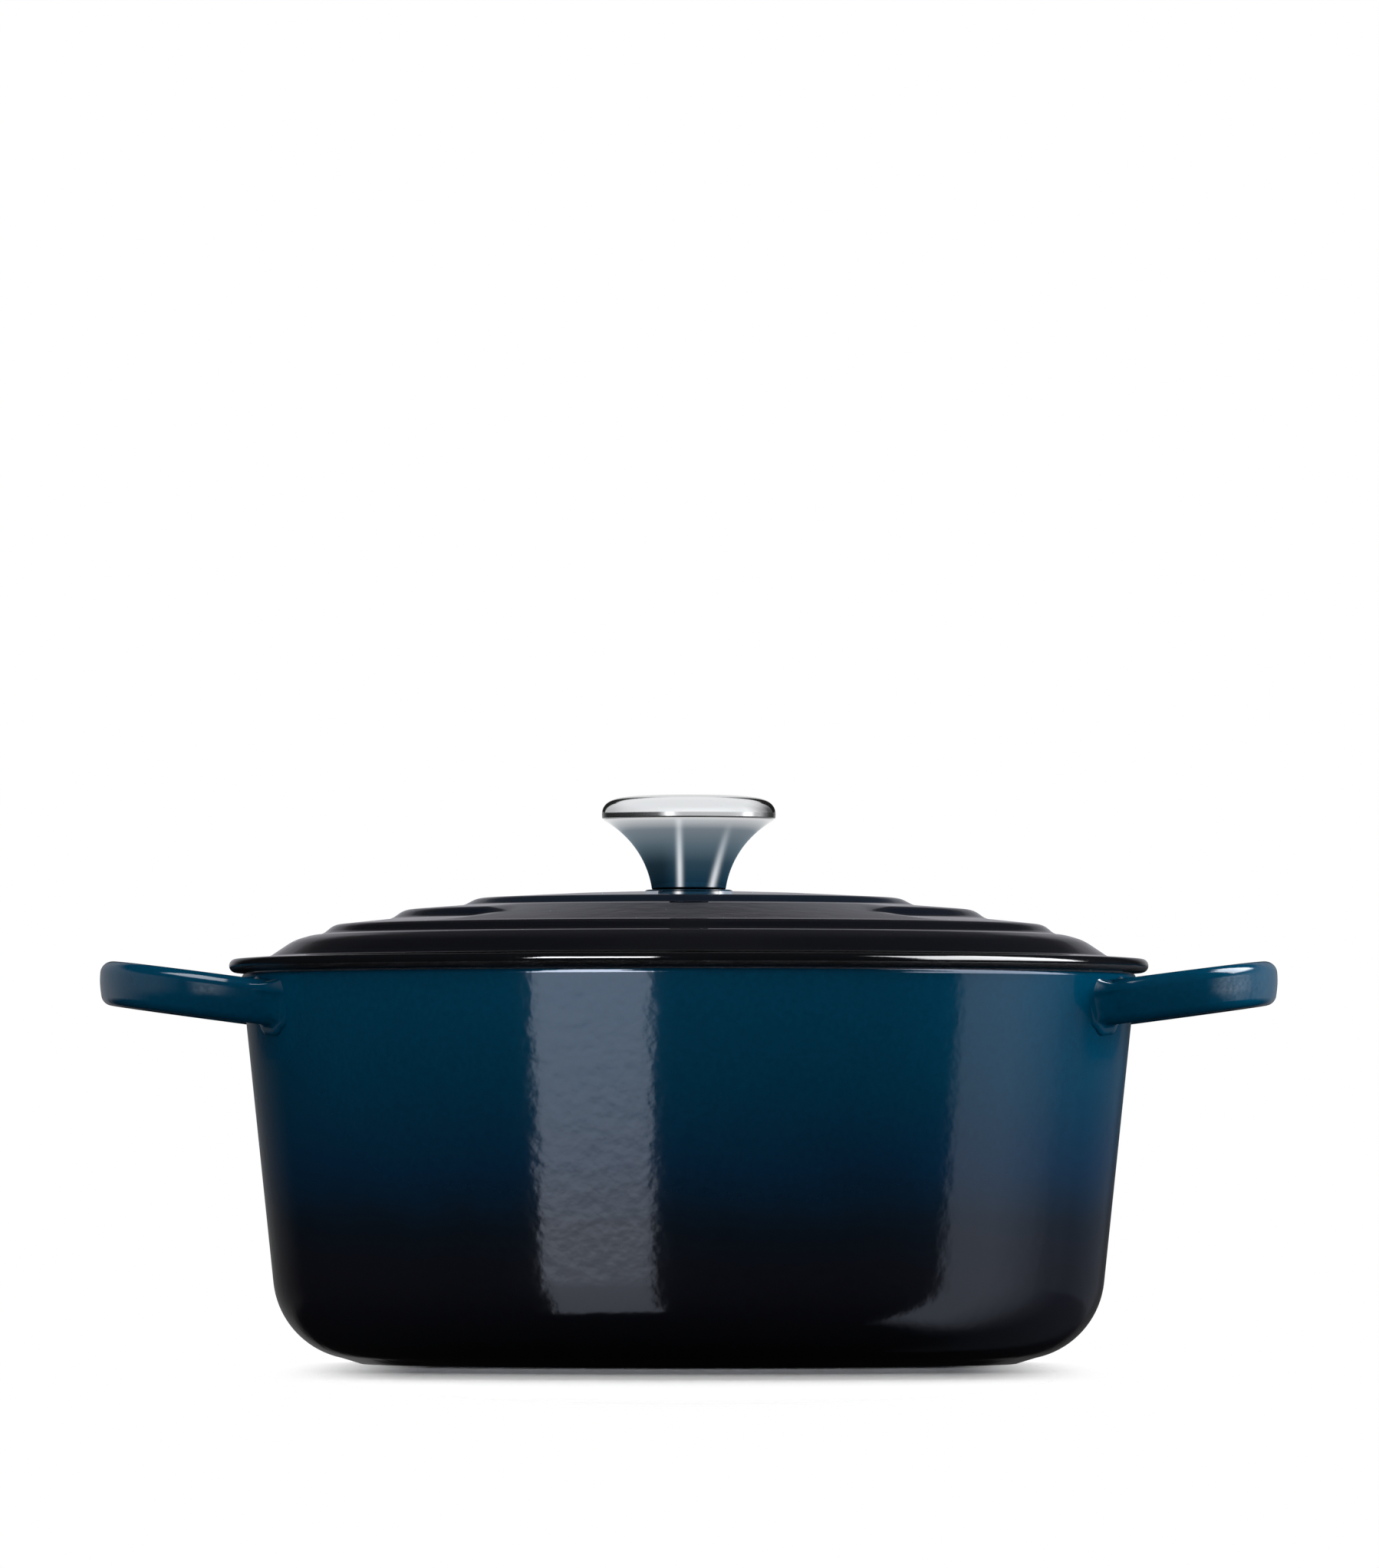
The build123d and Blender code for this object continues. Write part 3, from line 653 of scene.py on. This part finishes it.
def second_finish(piece, material, chosen):
    """Gives a second material to the faces that the rule picks from their radius, height and outward lean."""
    count = len(piece.data.polygons)
    middle, normal = np.empty(count * 3), np.empty(count * 3)
    piece.data.polygons.foreach_get("center", middle)
    piece.data.polygons.foreach_get("normal", normal)
    middle, normal = middle.reshape(-1, 3) / MM, normal.reshape(-1, 3)
    radius = np.hypot(middle[:, 0], middle[:, 1])
    outward = (middle[:, :2] * normal[:, :2]).sum(1) / np.maximum(radius, 1e-6)
    piece.data.materials.append(material)
    index = chosen(radius, middle[:, 2], outward).astype(np.int32)
    piece.data.polygons.foreach_set("material_index", index)
    print(piece.name, int(index.sum()), "faces take", material.name)


second_finish(bowl, rim_enamel,
              lambda r, z, out: ((z > 107.4) & (r < 123.2)) | ((z > 4.5) & (out < 0.02) & (r < 122)))
second_finish(lid, rim_enamel, lambda r, z, out: (z < 109.6) | ((out < 0) & (z < 126.0) & (r < 114.9)))

# %% [markdown]
# Now the stage. Glossy enamel and steel are drawn by what they mirror, so a studio sets up soft boxes and white cards.
# Area lights would mirror in every piece at once. Each card here glows only in the first reflection of chosen pieces,
# by light linking, and is a patch of a big sphere round the pot. It is laid out by its bearing and height in degrees,
# so it can be drawn straight from where its reflection has to fall.

# %% Cards that only reflections see
def between(value, low, high, ease):
    """1 between two limits and 0 outside them, easing over a stretch inside each limit."""
    return smooth((value - low) / ease) * smooth((high - value) / ease)


def shine_on(source, receivers):
    """Lets a card or a lamp light only the receivers, by light linking."""
    source.light_linking.receiver_collection = bpy.data.collections.new(source.name + "_receivers")
    for piece in receivers:
        source.light_linking.receiver_collection.objects.link(piece)


def glowing(name, mesh, glow, receivers):
    """Puts a mesh on the stage as a card that only first reflections see, in the pieces named as receivers."""
    panel = bpy.data.objects.new(name, mesh)
    bpy.context.scene.collection.objects.link(panel)
    material = bpy.data.materials.new(name)
    material.use_nodes = True
    tree = material.node_tree
    tree.nodes.clear()
    recipe = glow(tree)
    mirrored = add_node(tree, "LightPath").outputs["Glossy Depth"]
    once = add_node(tree, "Math", {0: mirrored, 1: 1.5}, operation="LESS_THAN")  # a first reflection has depth 1
    power = add_node(tree, "Math", {0: recipe["Strength"], 1: once}, operation="MULTIPLY")
    light = add_node(tree, "Emission", {"Color": recipe["Color"], "Strength": power})
    through = add_node(tree, "BsdfTransparent")
    both = add_node(tree, "AddShader", {0: light, 1: through})
    add_node(tree, "OutputMaterial", {"Surface": both})
    material.cycles.emission_sampling = "NONE"
    mesh.materials.append(material)
    panel.visible_camera = panel.visible_diffuse = panel.visible_shadow = False
    shine_on(panel, receivers)
    return panel


CARD_COLUMNS, CARD_ROWS, CARD_CENTRE = 181, 221, (0, 0, 0.07)


def glow_card(name, bearing, height, strength, colour, receivers, distance=2.2):
    """A patch of a sphere about the pot that glows with strength(bearing, height).

    bearing is in degrees from -Y towards +X, height in degrees above the level. It adds its light to what is behind.
    """
    across, up = np.meshgrid(np.linspace(*bearing, CARD_COLUMNS), np.linspace(*height, CARD_ROWS))
    turn, lift = np.radians(across), np.radians(up)
    points = distance * np.stack([np.cos(lift) * np.sin(turn), -np.cos(lift) * np.cos(turn), np.sin(lift)], axis=-1)
    mesh = grid_mesh(name, points + CARD_CENTRE)
    glow = (strength(across, up) + 0 * across).ravel().astype(np.float32)
    mesh.attributes.new("glow", "FLOAT", "POINT").data.foreach_set("value", glow)
    recipe = lambda tree: {"Color": linear(colour),
                           "Strength": add_node(tree, "Attribute", attribute_name="glow").outputs["Fac"]}
    print(name, "brightest", round(float(glow.max()), 2))
    return glowing(name, mesh, recipe, receivers)


# %% [markdown]
# The wall mirrors two soft boxes: a narrow one on the left with a clear end, and a wide one on the right that fades
# round the side. A picture of a soft box could be mapped on to a plane. A formula of bearing and height is used, as it
# stays crisp where an edge has to be. Folds in the cloth of each box break up its light, and a faint glow far round
# lifts the wall off the dark at its edges.

# %% Boxes for the wall
def left_box(b, h):
    """A tall soft box in front on the left: dim low down, where the wall shows it, and bright above the level."""
    inner_edge = -8.8 - 9.0 * smooth((h - 20) / 12)
    outer_edge = -40.5 - 4.0 * smooth((-30 - h) / 15)
    folds = 1 + 0.24 * np.sin(h * 5.5 + 1.6 * np.sin(b * 1.3)) * smooth((0 - h) / 4)
    return between(b, outer_edge, inner_edge, 1.2) * folds * np.interp(
        h, [-48, -45, -15, -12.6, -11.2, -9, 2, 6, 50, 60], [0, 1.2, 1.4, 1.65, 2.6, 2.9, 2.9, 18, 18, 0])


def right_box(b, h):
    """A wide box on the right: a crisp front edge low down, fading towards the back, and bright above the level."""
    fade = smooth((b - 70.5) / 5) * np.interp(
        b, [73, 90, 102, 116, 126, 154, 160], [0.9, 0.76, 0.44, 0.09, 0.02, 0.02, 0])
    fade = fade + 0.05 * between(b, 112, 162, 8) * smooth((h + 12.3) / 1.2)
    folds = 1 + 0.2 * np.sin(h * 5.5 + 1.6 * np.sin(b * 1.3))
    high = between(b, 54 + 20 * smooth((h - 20) / 12), 117, 8) * 6
    low_part = fade * folds * smooth((h + 56) / 14) * smooth((8 - h) / 6)
    return low_part + high * smooth((h - 2) / 6) * smooth((62 - h) / 8)


def rim_glow(b, h):
    """A faint glow far round on both sides, weaker on the right, which only the wall's edge shows."""
    round_side = np.interp(np.abs(b), [132, 150, 166, 180], [0, 0.05, 0.12, 0.14])
    return round_side * np.where(b > 0, 0.4, 1) * between(h, -16, 13, 5)


glow_card("left_softbox", (-46, -8), (-50, 61), left_box, "#e0eaff", (bowl,))
glow_card("right_softbox", (52, 162), (-58, 64), right_box, "#dce8ff", (bowl,))
glow_card("rim_glow_left", (-180, -130), (-18, 15), rim_glow, "#ffffff", (bowl,))
glow_card("rim_glow_right", (130, 180), (-18, 15), rim_glow, "#ffffff", (bowl,))

# %% [markdown]
# The handles stick out to the sides, so they mirror the boxes from other places than the wall does.
# One card of their own is easier to lay out than boxes that have to serve both.

# %% Boxes for the handles
def handle_boxes(b, h):
    """Both boxes as the handles see them: a mottled patch about the level, a pale haze, and a bright bar overhead."""
    mottle = 0.75 + 0.7 * np.sin(1.5 * b + 1.7 * np.sin(0.9 * h)) * np.sin(1.2 * h + 1.3 * np.sin(0.8 * b))
    low = between(b, -46, -4, 16) * 1.5 + np.interp(b, [62, 80, 100, 118, 150], [0, 2.0, 1.8, 0.3, 0])
    pale = np.interp(b, [-175, -165, -120, -75, -46, 70, 110, 165, 175],
                     [0, 0.26, 0.28, 0.34, 0, 0, 0.18, 0.24, 0]) * between(h, -14, 30, 10)
    left_bar = between(b, -92, -6, 6) * between(h, 46, 84, 8) * 7
    right_bar = between(b, 92, 140, 6) * between(h, 24, 60, 8) * 10
    return low * mottle * between(h, -16, 20, 12) + pale + left_bar + right_bar


glow_card("handle_softboxes", (-176, 176), (-32, 86), handle_boxes, "#f4f8ff", handles)

# %% [markdown]
# Seen almost level, the lid's steps mirror only what stands straight behind the pot, and its flange mirrors the boxes
# in front. So the lid has two cards: a backdrop that is pale over the horizon and dark above, and a pair of boxes.

# %% Boxes and a backdrop for the lid
def lid_boxes(b, h):
    """Both boxes as the lid's flange sees them: a thin bright strip on the left, a broad softer one on the right."""
    left = between(b, -41.5, -8.5, 1.2) * between(h, 18, 44, 5) * 30
    return left + between(b, 56, 117, 8) * between(h, 4, 56, 8) * 17


def lid_backdrop(b, h):
    """What the lid's steps mirror from behind: a pale band just over the horizon, dark above it."""
    return between(b, 150, 210, 20) * np.interp(
        h, [0, 3, 6, 9, 12, 15, 18, 20, 24, 90], [0.1, 0.4, 0.4, 0.34, 0.28, 0.24, 0.18, 0.08, 0.03, 0.03])


glow_card("lid_softboxes", (-44, 120), (2, 60), lid_boxes, "#fbfcff", (lid,))
glow_card("lid_backdrop", (140, 220), (0, 90), lid_backdrop, "#f6f6ff", (lid,))

# %% [markdown]
# A polished cap mirrors the whole room, so photographers put a white tent round it, with black flags that draw its
# edges. The cap's side mirrors bearings about the level, and its crest mirrors what is higher up.

# %% A white tent for the cap
def cap_tent(b, h):
    """A shaded left, a dark right, a black flag behind each side and two lamps about the level; white below."""
    face = np.interp(b, [-160, -150, -122, -100, -68, -45, -28, -5, 45, 74, 86, 99, 110, 121, 134, 150, 160],
                     [0.82, 0.7, 0.8, 1.05, 1.25, 1.35, 1.45, 1.5, 1.5, 1.4, 1.5, 1.1, 0.7, 0.45, 0.12, 0.1, 0.82])
    high = face + (1.27 - face) * smooth((h - 12) / 36)
    flags = between(np.abs(b), 147, 177, 3) * smooth((33 - h) / 4)
    low = np.interp(b, [-180, -150, -140, -122, -84, -68, -54, -41, -34, -28, -24, -16,
                        -8, 60, 74, 82, 90, 99, 110, 121, 134, 150, 180],
                    [0.5, 0.1, 0.03, 0.03, 0.05, 0.09, 0.14, 0.22, 0.9, 2.2, 2.2, 1.0,
                     0.8, 0.86, 1.05, 2.2, 2.0, 0.8, 0.67, 0.26, 0.07, 0.05, 0.5])
    return np.where(h < -22, 1.4, np.where(h < 5, low, high * (1 - np.clip(flags, 0, 0.98))))


glow_card("cap_tent", (-180, 180), (-40, 90), cap_tent, "#ffffff", (cap,), 2.6)

# %% [markdown]
# The stem flares over the lid and mirrors the lid at its foot, the table further up and the room under the cap.
# Such a reflection runs through half the scene. It is drawn on a sheet that lies a millimetre off the stem instead,
# and a short copy of its foot shows in the lid. The lid and the knob are then hidden from all reflections.
# The sheet stays where the knob rests, so the stem goes dark when the lid is lifted.

# %% A reflection for the stem
def funnel_light(points, start):
    """Colour of the sheet, a painted reflection: pale at the cap, deep blue-green at the foot, darker on the left, with
    two narrow streaks of painted lamp light, each a bell curve across, that begin at a given level. Level runs from 0
    at the foot to 1 at the cap."""
    x, level = points[..., 0] / MM, (points[..., 2] / MM - BOSS) / 19.5
    stops = [0.0, 0.11, 0.33, 0.54, 0.76, 0.92, 1.0]
    codes = ["#122e40", "#204358", "#3a5565", "#6a7f8c", "#8f9aa3", "#ffffff", "#ffffff"]
    shades = np.array([linear(code)[:3] for code in codes]).T
    tint = np.stack([np.interp(level, stops, shade) for shade in shades], axis=-1)
    dim = np.interp(level, [0.1, 0.3, 0.5, 0.65], [0.6, 0.55, 0.2, 0]) * smooth((-3.0 - x) / 6.0)
    left = np.exp(-((x + 2.9) / 0.9) ** 2) * np.interp(level, [0.05, 0.3, 0.6, 0.85, 0.95], [1.1, 1.1, 0.7, 0.35, 0])
    right = np.exp(-((x - 7.5 - 5.2 * level) / 1.0) ** 2) * np.interp(level, [0.05, 0.2, 0.5, 0.85], [1.1, 1.0, 0.5, 0])
    return tint * (1 - dim)[..., None] + ((left + right) * (level > start))[..., None]


def reflection_sheet(name, points, start, receivers):
    """A card in the shape of a grid of points, painted with funnel_light."""
    mesh = grid_mesh(name, points)
    paint = np.concatenate([funnel_light(points, start), np.ones(points.shape[:2] + (1,))], axis=-1)
    mesh.attributes.new("tint", "FLOAT_COLOR", "POINT").data.foreach_set("color", paint.ravel().astype(np.float32))
    print(name, len(mesh.polygons), "faces")
    recipe = lambda tree: {"Color": add_node(tree, "Attribute", attribute_name="tint"), "Strength": 1.0}
    glowing(name, mesh, recipe, receivers)


trumpet = np.vstack([flare[:-1], lip[:-1]])
slope = np.gradient(trumpet, axis=0)
funnel = trumpet + np.stack([slope[:, 1], -slope[:, 0]], axis=1) / np.linalg.norm(slope, axis=1, keepdims=True)
sheet = turned(np.vstack([[(15.0, BOSS + 0.05), (11.5, BOSS + 0.05)], funnel[1:]]), 240) * MM
sheet = np.hstack([sheet, sheet[:, :1]])
reflection_sheet("stem_funnel", sheet, 0.01, (stem,))
# The short copy of the sheet's foot is the stem's painted reflection in the lid.
reflection_sheet("foot_funnel", sheet[:12] * [1.03, 1.03, 1], -1, (lid,))  # wider by a hair: sheets must not coincide
lid.visible_glossy = stem.visible_glossy = cap.visible_glossy = False

# %% [markdown]
# A white studio also lights the enamel's own colour, evenly and from all round. A bright world would do it, but it
# would show in every reflection as well. A whole sphere that only diffuse light sees does it without that.

# %% An even light round the pieces
tent = glow_card("even_tent", (-180, 180), (-90, 90), lambda b, h: np.interp(h, [-35, 15], [0.12, 1.08]), "#ffffff",
                 pieces, 3.0)
tent.visible_diffuse, tent.visible_glossy = True, False

# %% [markdown]
# The pot stands on white paper. A big floor would end in a horizon line, so this one fades out in an ellipse that holds
# the shadow and little more, and the white surround takes over. From below it is not there at all.

# %% Floor
floor_mesh = bpy.data.meshes.new("floor")
floor_mesh.from_pydata([(-2, -2, 0), (2, -2, 0), (2, 2, 0), (-2, 2, 0)], [], [(0, 1, 2, 3)])
floor = bpy.data.objects.new("floor", floor_mesh)
bpy.context.scene.collection.objects.link(floor)
paper, tree, place = start_material("white_paper_floor")
near = add_node(tree, "Mapping", {"Vector": place, "Location": (0, 0.2, 0), "Scale": (7.2, 1.3, 1.0)})
away = add_node(tree, "VectorMath", {0: near}, operation="LENGTH").outputs["Value"]
fade = add_node(tree, "MapRange",
                {"Value": away, "From Min": 0.5, "From Max": 0.8, "To Min": 1.0, "To Max": 0.0},
                interpolation_type="SMOOTHSTEP")
underneath = add_node(tree, "NewGeometry").outputs["Backfacing"]
alpha = add_node(tree, "Math", {0: fade, 1: underneath}, operation="SUBTRACT", use_clamp=True)
finish_material(paper, {"Base Color": linear("#f6f6f6"), "Roughness": 0.9, "Alpha": alpha})
floor_mesh.materials.append(paper)
floor.visible_glossy = False

# %% [markdown]
# A shadow that is dark under the foot and soon gone needs light from behind at two heights, and a little from above.
# Those three lights reach the floor alone. Two others, from behind and from the right, model the pieces.

# %% Soft light
def soft_light(name, place, aim, wide, tall, power, receivers):
    """A rectangular area light that does not show in reflections and lights only the receivers."""
    data = bpy.data.lights.new(name, "AREA")
    data.shape, data.size, data.size_y, data.energy = "RECTANGLE", wide, tall, power
    data.specular_factor = 0.0
    light = bpy.data.objects.new(name, data)
    bpy.context.scene.collection.objects.link(light)
    light.location = place
    light.rotation_euler = (Vector(aim) - Vector(place)).to_track_quat("-Z", "Y").to_euler()
    light.visible_glossy = False
    shine_on(light, receivers)
    print(name, power, "W on", len(receivers), "objects")


IN_FRONT = (0, -0.3, 0)
soft_light("back_light", (0, 1.9, 0.72), IN_FRONT, 0.8, 1.2, 215, (floor,))
soft_light("high_light", (0, 1.45, 1.5), IN_FRONT, 0.8, 1.2, 45, (floor,))
soft_light("rim_light", (0, 1.9, 0.78), IN_FRONT, 0.8, 1.4, 60, pieces)
soft_light("top_light", (0, -0.8, 1.8), IN_FRONT, 1.2, 1.2, 5, (floor,))
soft_light("right_light", (1.95, 0.9, 0.45), (0, 0, 0.06), 0.8, 0.8, 85, pieces)

# %% [markdown]
# The surround is white to the camera and nearly black to everything else, so that only the cards show in the shine.
# A bright world would be simpler, but it would wash the enamel out. The camera stands almost 4 m off and 5 cm above
# the floor, with a long lens that flattens the perspective.

# %% Surround and camera
world = bpy.data.worlds.new("white_surround")
bpy.context.scene.world = world
world.use_nodes = True
tree = world.node_tree
tree.nodes.clear()
ray = add_node(tree, "LightPath")
seen = add_node(tree, "Background", {"Color": linear("#ffffff"), "Strength": 1.0})
dark = add_node(tree, "Background", {"Color": linear("#0a0a0b"), "Strength": 1.0})
shown = add_node(tree, "MixShader", {0: ray.outputs["Is Camera Ray"], 1: dark, 2: seen})
add_node(tree, "OutputWorld", {"Surface": shown})
bpy.context.scene.view_settings.view_transform = "Standard"

camera_data = bpy.data.cameras.new("studio_camera")
camera = bpy.data.objects.new("studio_camera", camera_data)
bpy.context.scene.collection.objects.link(camera)
camera_data.lens = 322.0
camera_data.clip_end = 50.0
eye, target = Vector((0.0002, -3.88, 0.053)), Vector((0.0002, 0.0, 0.1603))
camera.location = eye
camera.rotation_euler = (target - eye).to_track_quat("-Z", "Y").to_euler()
bpy.context.scene.camera = camera
print("camera", round((target - eye).length, 2), "m off, lens", camera_data.lens, "mm")
